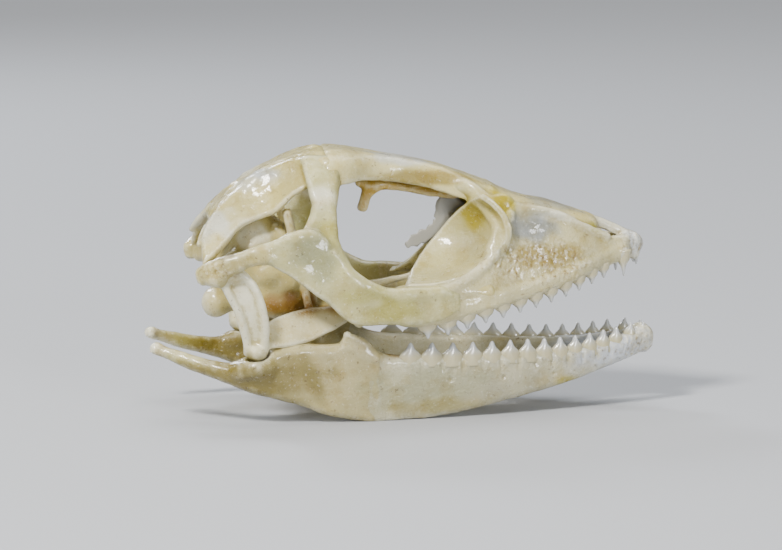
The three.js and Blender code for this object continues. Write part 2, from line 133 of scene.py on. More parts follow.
def slab(stations, thin, crest=0.0, edge=1.0):
    """A plate read at x, through stations (x, w, z, half-thickness, half-width, droop).
    Its two edges droop away from thin, beyond the share crest of its half-width."""
    rows = with_droop(stations)
    leans = unit(np.array(thin if np.ndim(thin) == 2 else [thin] * len(rows), float))
    columns = [profile(zip(rows[:, 0], column)) for column in rows[:, 1:].T]
    lean_y, lean_z = (profile(zip(rows[:, 0], column)) for column in leans[:, 1:].T)
    first, last = rows[:, 0].min(), rows[:, 0].max()

    def distance(x, y, z):
        w, middle, thick, wide, droop = (column(x) for column in columns)
        across, up = lean_y(x), lean_z(x)
        p = (y - w) * across + (z - middle) * up
        q = (z - middle) * across - (y - w) * up
        ramp = np.maximum(np.abs(q) / wide - crest, 0) / (1 - crest)
        slope = 2 * droop * ramp / ((1 - crest) * wide)
        p = (p + droop * ramp**2) / np.sqrt(1 + slope**2)
        radius = np.minimum(thick, wide) * edge
        beyond = np.maximum(x - last, first - x) + radius
        return rounded(p, q, beyond, thick, wide, radius)

    return Solid(distance, *box_round(rows))


def bar(stations, thin, edge=1.0, points_per_span=6):
    """A bar or bent plate along a path, with sections square to it."""
    rows = with_droop(stations)
    count = (len(rows) - 1) * points_per_span + 1
    leans = np.array(thin if np.ndim(thin) == 2 else [thin] * len(rows), float)
    fine = smooth_rows(rows, count)
    path = fine[:, :3]
    tangent = unit(np.gradient(path, axis=0))
    lean = smooth_rows(leans, count)
    normal = unit(lean - (lean * tangent).sum(axis=1, keepdims=True) * tangent)
    side = np.cross(tangent, normal)
    table = np.hstack([path, tangent, normal, side, fine[:, 3:]])

    def distance(x, y, z):
        x, y, z = np.broadcast_arrays(x, y, z)
        nearest = np.full(x.shape, np.inf)
        place = np.zeros(x.shape)
        for i in range(count - 1):
            span = path[i + 1] - path[i]
            rx, ry, rz = x - path[i, 0], y - path[i, 1], z - path[i, 2]
            s = np.clip((rx * span[0] + ry * span[1] + rz * span[2]) / (span @ span), 0, 1)
            gap = (rx - s * span[0]) ** 2 + (ry - s * span[1]) ** 2 + (rz - s * span[2]) ** 2
            closer = gap < nearest
            nearest[closer] = gap[closer]
            place[closer] = i + s[closer]
        at = [np.interp(place, np.arange(count), column) for column in table.T]
        rx, ry, rz = x - at[0], y - at[1], z - at[2]
        along = rx * at[3] + ry * at[4] + rz * at[5]
        p = rx * at[6] + ry * at[7] + rz * at[8]
        q = rx * at[9] + ry * at[10] + rz * at[11]
        thick, wide, droop = at[12:]
        slope = 2 * droop * q / wide**2
        p = (p + droop * (q / wide) ** 2) / np.sqrt(1 + slope**2)
        return rounded(p, q, np.abs(along), thick, wide, np.minimum(thick, wide) * edge)

    return Solid(distance, *box_round(rows))


def rod(start, end, radius, end_radius=None):
    end_radius = end_radius or radius
    return bar([(*start, radius, radius), (*end, end_radius, end_radius)], ASKEW)


def ball(centre, radii):
    """A rounded lump or pit."""
    centre, radii = np.array(centre, float), np.array(radii, float)

    def distance(x, y, z):
        parts = [(v - c) / r for v, c, r in zip((x, y, z), centre, radii)]
        return (np.sqrt(sum(part**2 for part in parts)) - 1) * radii.min()

    return Solid(distance, centre - radii, centre + radii)


def bowl(centre, radii, half, low, high, rear, slant):
    """Part of an ellipsoid's shell inside a box, ending behind at a slanted edge."""
    centre, radii, low, high = (np.array(v, float) for v in (centre, radii, low, high))

    def distance(x, y, z):
        parts = [v - c for v, c in zip((x, y, z), centre)]
        share = np.sqrt(sum((part / r) ** 2 for part, r in zip(parts, radii)))
        steep = np.sqrt(sum((part / r**2) ** 2 for part, r in zip(parts, radii)))
        skin = np.abs(share * (share - 1) / steep - half) - half
        edges = [np.maximum(a - v, v - b) for v, a, b in zip((x, y, z), low, high)]
        behind = (rear + slant * (z - centre[2]) - x) / math.hypot(1, slant)
        return np.maximum.reduce(np.broadcast_arrays(skin, behind, *edges))

    return Solid(distance, low, high)


def ground(low, high, level):
    """All that lies below a level, within a box."""
    def distance(x, y, z):
        return z - level

    return Solid(distance, np.array(low), np.array(high))


# Grid blocks

class Block:
    """A box of grid points and the distances there."""

    def __init__(self, start, values):
        self.start = start
        self.stop = start + values.shape
        self.values = values

    def window(self, start, stop):
        first = np.maximum(start, self.start) - self.start
        last = np.maximum(np.minimum(stop, self.stop) - self.start, first)
        return tuple(slice(a, b) for a, b in zip(first, last))

    def around(self, solid):
        start = np.floor((solid.low - MARGIN) / STEP).astype(int)
        stop = np.ceil((solid.high + MARGIN) / STEP).astype(int) + 1
        return self.window(start, stop)

    def axes(self, window):
        """x, distance from the midline and z over a window."""
        x, y, z = (
            STEP * np.arange(first + s.start, first + s.stop)
            for first, s in zip(self.start, window)
        )
        return x[:, None, None], np.abs(y)[None, :, None], z[None, None, :]


def blend(a, b, soft):
    """The nearer of two distances, with a rounded join."""
    near = np.maximum(soft - np.abs(a - b), 0) / soft
    return np.minimum(a, b) - near * near * soft / 4


SKIN = 0.25  # depth of the layer that is made uneven
SWELL = 0.022  # height of the long swells
DIMPLE = 0.012  # height of the short ones
GRAIN = 0.024  # height of granules
swell = ripple(2.2)
dimple = ripple(0.75)
granule = ripple(0.4)
Patch = namedtuple("Patch", "place size")
GRANULAR = [
    Patch((7.4, 3.5, 8.5), (4.4, 1.6, 1.25)), Patch((12.7, 0.8, 3.5), (1.8, 1.3, 1.2)),
    Patch((12.6, 0.5, 9), (1.2, 1.2, 0.9)), Patch((-10.3, 6.1, 8.5), (1.3, 0.8, 0.7)),
]


def coarseness(points):
    """Where the bone is granular, from 0 to 1."""
    half = np.abs(points) * (0, 1, 0) + points * (1, 0, 1)
    reaches = [np.linalg.norm((half - patch.place) / patch.size, axis=1) for patch in GRANULAR]
    return smoothstep(1.2, 0.6, np.min(reaches, axis=0))


def shape_bone(solids, cuts=(), soft=0.25, rough=1.0):
    """One bone's distances: its solids joined, its hollows cut, its surface made uneven."""
    low = np.min([solid.low for solid in solids], axis=0) - MARGIN
    high = np.max([solid.high for solid in solids], axis=0) + MARGIN
    start = np.floor(low / STEP).astype(int)
    start[1] = max(start[1], -SIDE_ROOM)
    stop = np.ceil(high / STEP).astype(int) + 1
    block = Block(start, np.full(stop - start, MARGIN, np.float32))
    for solid in solids:
        window = block.around(solid)
        here = block.values[window]
        if here.size:
            block.values[window] = blend(here, solid.distance(*block.axes(window)), soft)
    for cut in cuts:
        window = block.around(cut)
        here = block.values[window]
        if here.size:
            block.values[window] = -blend(-here, cut.distance(*block.axes(window)), soft / 3)
    near = np.argwhere(np.abs(block.values) < SKIN)
    points = (near + block.start) * STEP
    bumps = SWELL * swell(points) + DIMPLE * dimple(points)
    block.values[tuple(near.T)] += rough * bumps + GRAIN * coarseness(points) * granule(points)
    return block


SETTLING_ROUNDS = 6
JUST_INSIDE = -0.1 * STEP  # distance given to a grid corner that is filled


def settled(values):
    """Fills grid corners where two surfaces would touch along an edge."""
    values = values.copy()
    for _ in range(SETTLING_ROUNDS):
        found = 0
        for u, v in ((0, 1), (0, 2), (1, 2)):
            grid = np.moveaxis(values, (u, v), (0, 1))
            a, b, c, d = grid[:-1, :-1], grid[1:, :-1], grid[:-1, 1:], grid[1:, 1:]
            falling = (a < 0) & (d < 0) & (b >= 0) & (c >= 0)
            rising = (a >= 0) & (d >= 0) & (b < 0) & (c < 0)
            b[falling] = JUST_INSIDE
            a[rising] = JUST_INSIDE
            found += falling.sum() + rising.sum()
        if not found:
            break
    return values


CORNERS = np.array([(i, j, k) for i in (0, 1) for j in (0, 1) for k in (0, 1)])
EDGES = [(a, b) for a in range(8) for b in range(a, 8) if abs(CORNERS[a] - CORNERS[b]).sum() == 1]


def surface_of(values, start):
    """The zero surface of a block as points and outward quads."""
    inside = values < 0
    nx, ny, nz = np.array(values.shape) - 1
    count = sum(inside[i:nx + i, j:ny + j, k:nz + k].astype(np.int8) for i, j, k in CORNERS)
    cells = np.argwhere((count > 0) & (count < 8))
    number = np.full(count.shape, -1)
    number[tuple(cells.T)] = np.arange(len(cells))
    at = [values[tuple((cells + corner).T)] for corner in CORNERS]
    total = np.zeros((len(cells), 3))
    hits = np.zeros((len(cells), 1))
    for a, b in EDGES:
        crossed = ((at[a] < 0) != (at[b] < 0))[:, None]
        share = (at[a] / np.where(at[a] == at[b], 1, at[a] - at[b]))[:, None]
        total += crossed * (CORNERS[a] + share * (CORNERS[b] - CORNERS[a]))
        hits += crossed
    points = STEP * (start + cells + total / hits)
    quads = []
    for axis in range(3):
        lower = inside.take(range(inside.shape[axis] - 1), axis)
        upper = inside.take(range(1, inside.shape[axis]), axis)
        edges = np.argwhere(lower != upper)
        u, v = np.eye(3, dtype=int)[[(axis + 1) % 3, (axis + 2) % 3]]
        ring = [number[tuple((edges - back).T)] for back in (u + v, v, 0 * u, u)]
        faces = np.stack(ring, axis=1)
        inward = ~lower[tuple(edges.T)]
        faces[inward] = faces[inward][:, ::-1]
        quads.append(faces)
    return points, np.vstack(quads)


def whole(block):
    """A midline block and its mirror image as one array, with its first index."""
    middle = -block.start[1]
    values = block.values
    full = np.concatenate([values[:, :middle:-1], values[:, middle:]], axis=1)
    start = block.start.copy()
    start[1] = 1 - (values.shape[1] - middle)
    return full, start


# Driving curves of the skull, read at x

roof_line = profile([
    (-11.6, 10.2), (-10, 11.75), (-8.7, 12.75), (-6.6, 13.95), (-4.4, 14.45), (-1.2, 14.05),
    (1.5, 13.55), (4.3, 12.6), (6.2, 11.8), (8, 11.38), (10.5, 10.5), (12.6, 9.72), (13.4, 9.2),
])
cheek_width = profile([
    (-3.5, 6.35), (-1, 5.85), (1.2, 5.35), (3.5, 4.8), (5.6, 4.2), (7.5, 3.6), (9.1, 3),
    (11.3, 1.9), (12.4, 1.2), (13.4, 0.6),
])
gum_line = profile([
    (-3.6, 5.48), (-0.3, 5.34), (1.2, 5.3), (3.5, 5.83), (5.6, 6.3), (7.5, 6.75), (9.1, 7.23),
    (11.3, 8.05), (12.4, 8.35), (13.4, 8.4),
])
jaw_width = profile([
    (-13.7, 3.05), (-12.2, 3.85), (-10.8, 4.55), (-9.6, 5.05), (-8.5, 5.3), (-6.3, 5.1), (-3, 4.8),
    (0.8, 4.2), (3, 3.8), (5.3, 3.3), (7.5, 2.65), (9.5, 2.05), (11.2, 1.5), (12.6, 0.95), (13.6, 0.3),
])
jaw_top = profile([
    (-13.7, 4.15), (-12.2, 3.74), (-10.5, 3.4), (-9.3, 3.4), (-8.5, 3.7), (-6.9, 4.26), (-5, 4.2),
    (-3.4, 4.35), (-1.2, 3.6), (1, 3.45), (5.8, 3.42), (9.5, 3.5), (12.2, 3.95), (13.6, 4.3),
])
jaw_base = profile([
    (-13.7, 3.66), (-12.5, 3.1), (-10.5, 2.4), (-8.5, 1.65), (-6.5, 1.1), (-4.6, 0.4), (-3.2, 0.06),
    (1.6, 0.06), (3.6, 0.39), (5.8, 0.84), (8, 1.3), (10.2, 1.89), (11.9, 2.46), (13.6, 2.95),
])
KEEL_IN = 0.94  # the jaw's keel is this much nearer the midline than its rim
PLATE = 0.26  # half the thickness of a thin plate
BEAM = 0.36  # half the thickness of a stout bar
JAW_TIP = 13.93
JAW_HEEL = -13.7


def roof(stations, crest=0.45):
    """A roofing bone hung from the roof line: (x, half-width, half-thickness, droop)."""
    hung = [(x, 0, roof_line(x) - t, t, a, droop) for x, a, t, droop in stations]
    return slab(hung, UPRIGHT, crest=crest, edge=0.8)


def wall(xs, lower, upper, thick, bow=0.0, edge=1.0):
    """A wall between two rails that give (w, z) at x, bowed outwards."""
    stations = []
    thin = []
    for x in xs:
        (w0, z0), (w1, z1) = lower(x), upper(x)
        height = math.hypot(w1 - w0, z1 - z0)
        half = thick(x) if callable(thick) else thick
        stations.append((x, (w0 + w1) / 2, (z0 + z1) / 2, half, height / 2, bow))
        thin.append((0, (z1 - z0) / height, (w0 - w1) / height))
    return slab(stations, thin, edge=edge)


# Tooth rows

def tooth_places(first, count, pitch, growth):
    """x of each tooth in a row, further apart towards the rear."""
    i = np.arange(count)
    return first - i * pitch - growth * i * (i - 1) / 2


UPPER_TEETH = tooth_places(10.91, 12, 0.72, 0.04)
LOWER_TEETH = tooth_places(11.72, 13, 0.76, 0.04)
LOWER_NOTCHES = (LOWER_TEETH[:-1] + LOWER_TEETH[1:]) / 2
UPPER_PITCH = -np.gradient(UPPER_TEETH)
LOWER_PITCH = -np.gradient(LOWER_TEETH)


# Bones of the roof

def frontal():
    cap = roof([
        (5.1, 2.1, 0.4, 0.35), (3.4, 2.05, 0.52, 0.4), (1.6, 1.68, 0.6, 0.3), (-0.3, 1.58, 0.6, 0.3),
        (-2, 2.1, 0.52, 0.5), (-3.3, 3.05, 0.45, 0.9), (-4.4, 3.5, 0.42, 1.15),
    ])
    return shape_bone([cap])


crest_line = [
    (-4.2, 2.9, 13.75), (-5.7, 2.05, 13.9), (-7.3, 1.45, 13.25), (-8.7, 1.35, 12.5), (-10, 1.75, 11.4),
    (-10.9, 2.6, 10.3), (-11.3, 3.4, 9.6),
]
flange_line = [
    (-4, 2.85, 13.45), (-4.7, 3.1, 12.95), (-5.4, 3.2, 12.5), (-6.2, 3.1, 12), (-7.35, 2.85, 11),
    (-8.9, 3.05, 10.4), (-10.2, 4.4, 9.3), (-11.1, 5.3, 8.6), (-11.4, 5.5, 8.4),
]


def rail(line):
    """(w, z) at x along a line of (x, w, z) points."""
    across = profile([(x, w) for x, w, z in line])
    height = profile([(x, z) for x, w, z in line])
    return lambda x: (across(x), height(x))


def parietal():
    table = roof(
        [(-4.4, 3.3, 0.3, 1.05), (-5.7, 2.3, 0.3, 0.35), (-7.3, 1.65, 0.3, 0.2), (-8.7, 1.5, 0.3, 0.15),
         (-10, 1.75, 0.28, 0.15), (-10.7, 1.9, 0.25, 0.2)],
    )
    xs = [-4.2, -4.7, -5.4, -6.2, -7.3, -8.2, -9.1, -10, -10.7, -11.25]
    flank = wall(xs, rail(flange_line), rail(crest_line), PLATE, bow=-0.12)
    crest = bar([(*point, 0.17, 0.17) for point in crest_line], SIDEWAYS)
    notch = ball((-11.6, 0, 10.2), (1.5, 1.2, 1.6))
    apex = ball((-4.7, 0.2, roof_line(-4.7) - 0.12), (0.35, 0.3, 0.22))
    return shape_bone([table, flank, crest, apex], [notch], soft=0.2, rough=1.8)


def nasals():
    cap = roof([
        (4.6, 2.1, 0.3, 0.4), (6.2, 2.35, 0.3, 0.55), (8, 2.1, 0.3, 0.6), (9.5, 1.75, 0.3, 0.55),
        (10.7, 1.25, 0.28, 0.35),
    ])
    return shape_bone([cap])


def premaxilla():
    body = slab(
        [(11.9, 0, 8.95, 0.5, 1.1), (12.7, 0, 8.95, 0.6, 0.95), (13.2, 0, 8.95, 0.5, 0.72),
         (13.45, 0, 8.92, 0.36, 0.45)],
        UPRIGHT,
    )
    process = roof([(13.2, 0.5, 0.3, 0.1), (11.6, 0.44, 0.3, 0.08), (10, 0.5, 0.28, 0.08)])
    sockets = [ball((x, w, 8.5), (0.4, 0.36, 0.4)) for x, w in ((12.8, 0.42), (12.05, 1.2))]
    return shape_bone([body, process, *sockets], rough=1.6)


# Bones of the cheek

ORBIT_RIM = [
    (-4, 3.4, 12.6), (-4.3, 4.45, 11.5), (-4.42, 5.25, 10.5), (-4.2, 5.8, 9.55), (-3.8, 6.08, 8.8),
    (-3.2, 6.2, 8.1), (-1.75, 6, 7.2), (-0.1, 5.55, 6.93), (1.4, 5.1, 7), (2.7, 4.65, 7.35),
    (4.4, 4, 8.6), (5.35, 3.35, 10.1), (5.6, 3, 10.9),
]


def rim(first, last, radius):
    """A stretch of the raised rim around the eye opening."""
    return bar([(*point, radius, radius) for point in ORBIT_RIM[first:last]], SIDEWAYS)


maxilla_top = [
    (-0.8, 5.6, 7.35), (1, 5.05, 7.32), (2.5, 4.55, 7.65), (4, 4, 8.65), (4.8, 3.45, 9.6),
    (5.4, 2.9, 11), (6.4, 2.4, 11.45), (8, 2.1, 11.05), (9.6, 1.75, 10.3), (11.2, 1.25, 9.5),
    (12.4, 0.8, 9.5),
]


GUM_IN = 0.2  # the maxilla's lower rail is this much nearer the midline than the cheek


def maxilla():
    upper = rail(maxilla_top)

    def lower(x):
        return cheek_width(x) - GUM_IN, gum_line(x)

    xs = [12.5, 11.8, 11.2, 10.4, 9.6, 8, 6.6, 5.6, 5, 4.4, 3.6, 2.5, 1, -0.8]
    facial = wall(xs, lower, upper, PLATE, bow=0.08)
    shelf = slab(
        [(x, cheek_width(x) - 0.32, gum_line(x) + 0.36, BEAM, 0.5) for x in (12.4, 9.6, 7, 4.4, 2, -0.6)],
        SIDEWAYS,
    )
    ridge = bar(
        [(6.1, 2.62, 11.2, 0.16, 0.2), (8, 2.3, 10.9, 0.17, 0.22), (9.6, 1.95, 10.15, 0.17, 0.22),
         (11.2, 1.5, 9.45, 0.16, 0.2)],
        SIDEWAYS,
    )
    hollow = ball((7.5, 3.62, 10.15), (2.3, 0.85, 1.0))
    pits = [
        ball((x, cheek_width(x) + 0.15, gum_line(x) + 1.3), (0.1, 0.2, 0.09)) for x in (9.8, 8.2, 6.4)
    ]
    parts = [facial, shelf, rim(7, 13, 0.24), ridge]
    return shape_bone(parts, [hollow, *pits], soft=0.2)


def prefrontal():
    socket = bowl(
        (0.4, 4.6, 10), (4.9, 4.3, 2.75), 0.15,
        low=(-0.5, -0.3, 7), high=(6, 3.9, 12.3), rear=2.2, slant=0.83,
    )
    brow = bar(
        [(2.9, 1.75, 12.55, 0.2, 0.3), (3.7, 2.15, 12.15, 0.28, 0.4), (4.5, 2.75, 11.25, 0.34, 0.5),
         (4.9, 3.25, 10.2, BEAM, 0.42), (4.5, 3.7, 9, BEAM, 0.4)],
        SIDEWAYS,
    )
    corner = ball((5.2, 2.5, 11.35), (0.7, 0.42, 0.7))
    return shape_bone([socket, brow, corner], soft=0.4)


def jugal():
    plate = bar(
        [(2.4, 4.95, 6.4, 0.16, 0.5), (0.9, 5.3, 6.33, 0.3, 0.95), (-1.5, 5.8, 6.37, BEAM, 0.96),
         (-2.8, 6.1, 6.55, BEAM, 1.12), (-3.7, 6.25, 7.15, 0.3, 1.04), (-4.4, 6.32, 7.9, PLATE, 1.02),
         (-5, 6.2, 8.9, PLATE, 1)],
        SIDEWAYS,
        edge=0.9,
    )
    return shape_bone([plate, rim(3, 9, 0.25)], soft=0.3)


def postorbital():
    upright = bar(
        [(-4.7, 2.5, 13.93, 0.2, 1), (-4.7, 3.33, 13.1, 0.25, 0.9), (-4.74, 3.9, 12.3, 0.32, 0.72),
         (-4.75, 4.5, 11.5, BEAM, 0.62), (-4.95, 5.4, 10.4, BEAM, 0.9), (-5.3, 6, 9.6, PLATE, 1.1)],
        SIDEWAYS,
    )
    arch = bar(
        [(-5.2, 5.85, 9.25, PLATE, 0.95), (-6, 6.25, 9.4, PLATE, 1.15), (-6.8, 6.45, 9.52, PLATE, 0.88),
         (-7.5, 6.5, 9.5, PLATE, 0.56), (-8.4, 6.55, 9.3, PLATE, 0.48)],
        SIDEWAYS,
    )
    sheet = slab(
        [(-7.7, 6.5, 9.3, 0.2, 0.5), (-6.6, 6.42, 9.25, 0.22, 1.15), (-5.8, 6.34, 9, 0.24, 1.5),
         (-5.2, 6.28, 8.75, 0.24, 1.7), (-4.5, 6.25, 8.3, 0.22, 1.6)],
        (0, 1, 0.1),
    )
    return shape_bone([upright, arch, sheet, rim(0, 5, 0.24)], soft=0.4)


def squamosal():
    beam = bar(
        [(-7.9, 6.55, 9.4, 0.3, 0.45), (-9.1, 6.55, 9.1, BEAM, 0.5), (-10, 6.4, 8.75, BEAM, 0.58),
         (-10.8, 6.05, 8.35, 0.42, 0.62), (-11.25, 5.7, 8.15, 0.42, 0.55)],
        SIDEWAYS,
    )
    knob = ball((-10.6, 6.25, 8.05), (0.5, 0.4, 0.42))
    return shape_bone([beam, knob], rough=2.0)


quadrate_line = [(-9.75, 6, 8.2), (-9.3, 6.1, 7.5), (-8.8, 6.05, 6.4), (-8.5, 5.8, 5.2), (-8.45, 5.5, 4.1)]
QUADRATE_HALF = [0.55, 0.8, 0.76, 0.68, 0.5]


def quadrate():
    web = bar(
        [(x, w - 0.12, z, 0.2, half) for (x, w, z), half in zip(quadrate_line, QUADRATE_HALF)], SIDEWAYS)
    rims = []
    for sign in (-1, 1):
        line = [
            (x + 0.85 * sign * half, w + 0.12, z + 0.2 * sign * half, 0.17, 0.2)
            for (x, w, z), half in zip(quadrate_line, QUADRATE_HALF)
        ]
        rims.append(bar(line, SIDEWAYS))
    head = ball((-9.75, 6, 8.15), (0.75, 0.5, 0.45))
    foot = ball((-8.42, 5.4, 3.98), (0.62, 0.72, 0.48))
    return shape_bone([web, *rims, head, foot], soft=0.22)


# Braincase and palate

def braincase():
    capsule = slab(
        [(-4.6, 0, 7.3, 0.7, 0.9), (-5.2, 0, 7.7, 1.2, 1.5), (-6.1, 0, 8.2, 1.8, 2),
         (-7.6, 0, 8.6, 2.25, 2.7), (-8.9, 0, 8.6, 2.25, 2.7), (-9.9, 0, 8.4, 1.7, 1.9),
         (-10.4, 0, 8.3, 1.1, 1.3)],
        UPRIGHT,
    )
    base = bar(
        [(-3, 0, 6.45, 0.35, 0.6), (-5, 0, 6.35, 0.6, 1.3), (-7.5, 0, 6.3, 0.75, 1.6),
         (-9.2, 0, 6.1, 0.6, 0.85), (-10.1, 0, 6, 0.7, 0.75)],
        UPRIGHT,
    )
    condyle = ball((-10.25, 0, 5.98), (0.68, 0.85, 0.8))
    rostrum = rod((-2.8, 0, 6.5), (0.6, 0, 7.3), 0.26, 0.18)
    crest = rod((-8.6, 0, 10), (-9, 0, 12.1), 0.5)
    processes = bar(
        [(-8.8, 1.6, 8.4, 0.6, 0.8), (-9.9, 3.6, 8.35, 0.42, 0.62), (-10.7, 5.2, 8.15, 0.42, 0.6)], FORWARD)
    feet = bar(
        [(-4.3, 0.5, 6.3, 0.3, 0.6), (-4.6, 1.7, 5.9, 0.3, 0.55), (-4.8, 2.6, 5.6, 0.3, 0.6)], UPRIGHT)
    side_wall = slab(
        [(-4.9, 2.3, 6.9, 0.25, 0.8, 0.2), (-6, 3, 7, 0.35, 1.4, 0.5), (-7.5, 3.3, 7.1, 0.4, 1.55, 0.6),
         (-8.9, 3.1, 7.3, 0.35, 1.2, 0.4)],
        (0, 1, 0.1),
    )
    level_canal = [(-6, 2.5, 8.8, 0.35, 0.35), (-7.3, 3.2, 8.3, 0.4, 0.4), (-8.6, 3, 8.4, 0.35, 0.35)]
    upright_canal = [(-7, 1.9, 10.2, 0.35, 0.35), (-6.3, 2.5, 8.9, 0.35, 0.35), (-6.2, 2.9, 7.4, 0.3, 0.3)]
    canals = [bar(line, SIDEWAYS) for line in (level_canal, upright_canal)]
    foramen = bar([(-12, 0, 7.75, 0.75, 0.8), (-8.9, 0, 7.85, 0.7, 0.75)], UPRIGHT)
    lumps = [ball((-7.6, 3.7, 7.9), (0.65, 0.35, 0.5)), ball((-6.6, 3.5, 7.5), (0.6, 0.35, 0.5))]
    parts = [capsule, base, condyle, rostrum, crest, processes, feet, side_wall, *canals, *lumps]
    return shape_bone(parts, [foramen], soft=0.4)


def vomer():
    plate = slab(
        [(12.2, 0, 8.55, PLATE, 0.7), (9.5, 0, 8, PLATE, 1.2), (6.5, 0, 7.65, PLATE, 1.6),
         (4.6, 0, 7.5, PLATE, 1.5)],
        UPRIGHT,
    )
    slot = ball((9, 0, 8.3), (2.4, 0.12, 1))
    return shape_bone([plate], [slot])


def orbitosphenoid():
    beam = bar(
        [(3.9, 0.1, 11.95, 0.2, 0.45), (2.6, 0, 11.75, 0.22, 0.36), (0.5, 0, 12.1, 0.24, 0.3),
         (-1.2, 0, 12.3, 0.26, 0.32), (-2.3, 0, 12.45, 0.24, 0.3)],
        UPRIGHT,
    )
    stub = bar(
        [(-1.7, 0, 12.2, 0.3, 0.42), (-1.95, 0, 11.7, 0.2, 0.27), (-2.15, 0, 11.05, 0.2, 0.27)], SIDEWAYS)
    return shape_bone([beam, stub], soft=0.3, rough=2.0)


def palatine():
    plate = slab(
        [(5, 2.3, 7.4, PLATE, 1.1, 0.15), (3, 2.5, 7.1, PLATE, 1.4, 0.15), (1.2, 2.3, 6.85, PLATE, 1, 0.1),
         (-0.4, 2.1, 6.6, PLATE, 0.75)],
        UPRIGHT,
    )
    strut = bar([(3.2, 2.6, 7.1, PLATE, 0.9), (3.5, 4.5, 6.9, PLATE, 1)], UPRIGHT)
    return shape_bone([plate, strut], soft=0.5)


def pterygoid():
    plate = slab(
        [(0.4, 2.1, 6.65, PLATE, 0.75), (-1.8, 2.4, 6.3, PLATE, 1), (-3.4, 2.8, 5.9, PLATE, 0.75),
         (-4.9, 3.3, 5.45, PLATE, 0.55)],
        UPRIGHT,
    )
    wing = bar(
        [(-3.6, 3.6, 5.7, 0.15, 0.5), (-5.2, 4.2, 5.35, 0.15, 0.85), (-6.8, 4.9, 5, 0.15, 0.9),
         (-8.1, 5.4, 4.75, 0.18, 0.6)],
        (0.4, 0.8, 0.45),
    )
    return shape_bone([plate, wing], soft=0.4)


def ectopterygoid():
    strut = bar(
        [(-2, 2.7, 6.15, PLATE, 0.65), (-1.6, 4, 5.75, PLATE, 0.5), (-1, 5.4, 5.8, PLATE, 0.65)], UPRIGHT)
    heel = bar([(-2.2, 4.7, 5.8, 0.22, 0.5), (-2.9, 4.9, 5.35, 0.2, 0.35)], UPRIGHT)
    return shape_bone([strut, heel], soft=0.4)


def epipterygoid():
    return shape_bone([rod((-5.4, 3.6, 5.95), (-6.5, 2.7, 11.1), 0.24)])


# Lower jaw

def jaw_rim(x):
    return jaw_width(x), jaw_top(x)


def jaw_keel(x):
    return jaw_width(x) * KEEL_IN, jaw_base(x)


floor_cut = ground((-15, -1, -1), (15, 8, 0.6), 0.02)


def dentary():
    xs = [JAW_TIP, 13.2, 12.6, 11.2, 9.5, 7.5, 5.3, 3, 0.8, -1.2, -2.6]
    body = wall(xs, jaw_keel, jaw_rim, 0.46, bow=0.1, edge=0.9)
    grooves = [
        ball((x, jaw_width(x) + 0.52, jaw_top(x) - 0.4), (0.13, 0.2, 0.6)) for x in LOWER_NOTCHES
    ]
    pits = [
        ball((x, jaw_width(x) + 0.5, jaw_top(x) - 1.3), (0.16, 0.2, 0.12)) for x in (10.6, 8.1, 5.2, 2.2)
    ]
    tip = ball((13.4, 0.42, 3.72), (0.52, 0.45, 0.66))
    return shape_bone([body, tip], [*grooves, *pits, floor_cut], soft=0.25)


def surangular():
    xs = [-1.5, -3, -4.6, -6.3, -7.6, -8.6, -9.6, -10.8, -12.2, JAW_HEEL]
    half = profile([
        (-1.5, 0.46), (-6.3, 0.5), (-8.6, 0.55), (-10.8, 0.42), (-12.2, 0.36), (JAW_HEEL, 0.33),
    ])
    body = wall(xs, jaw_keel, jaw_rim, half, bow=0.06, edge=0.95)
    heel = ball((JAW_HEEL, 3.02, 3.9), (0.3, 0.34, 0.3))
    cup = slab(
        [(-7.3, 5.2, 3.2, 0.45, 0.6), (-8.5, 5.35, 3.15, 0.55, 0.9), (-9.7, 5.1, 2.9, 0.4, 0.6)], UPRIGHT)
    socket = ball((-8.42, 5.4, 3.98), (0.72, 0.85, 0.6))
    fossa = ball((-5.6, 4.45, 3.3), (1.5, 0.35, 0.7))
    return shape_bone([body, heel, cup], [socket, fossa, floor_cut], soft=0.35)


def coronoid():
    process = bar(
        [(-2.9, 4.8, 3.2, 0.34, 1.2), (-3.1, 4.84, 3.85, 0.34, 1), (-3.35, 4.92, 4.4, 0.3, 0.6),
         (-3.5, 5, 4.75, 0.22, 0.24)],
        SIDEWAYS,
    )
    return shape_bone([process])


# Sutures: neighbours share one surface and part along a wavering seam

MIDLINE = {
    "frontal": frontal, "parietal": parietal, "nasals": nasals, "premaxilla": premaxilla,
    "braincase": braincase, "vomer": vomer, "orbitosphenoid": orbitosphenoid,
}
CHEEKS = {
    "maxilla": maxilla, "prefrontal": prefrontal, "jugal": jugal, "postorbital": postorbital,
    "squamosal": squamosal, "quadrate": quadrate, "palatine": palatine, "pterygoid": pterygoid,
    "ectopterygoid": ectopterygoid, "epipterygoid": epipterygoid,
}
JAW = {"dentary": dentary, "surangular": surangular, "coronoid": coronoid}
SEAM_BAND = 0.35  # depth of the layer where seams waver
SEAM_WAVER = 0.06  # how far they waver
SEAM_SHIFT = 3  # how far the noise moves from one bone to the next
NEARLY_NONE = 1e-9
seam_waver = ripple(1.7)


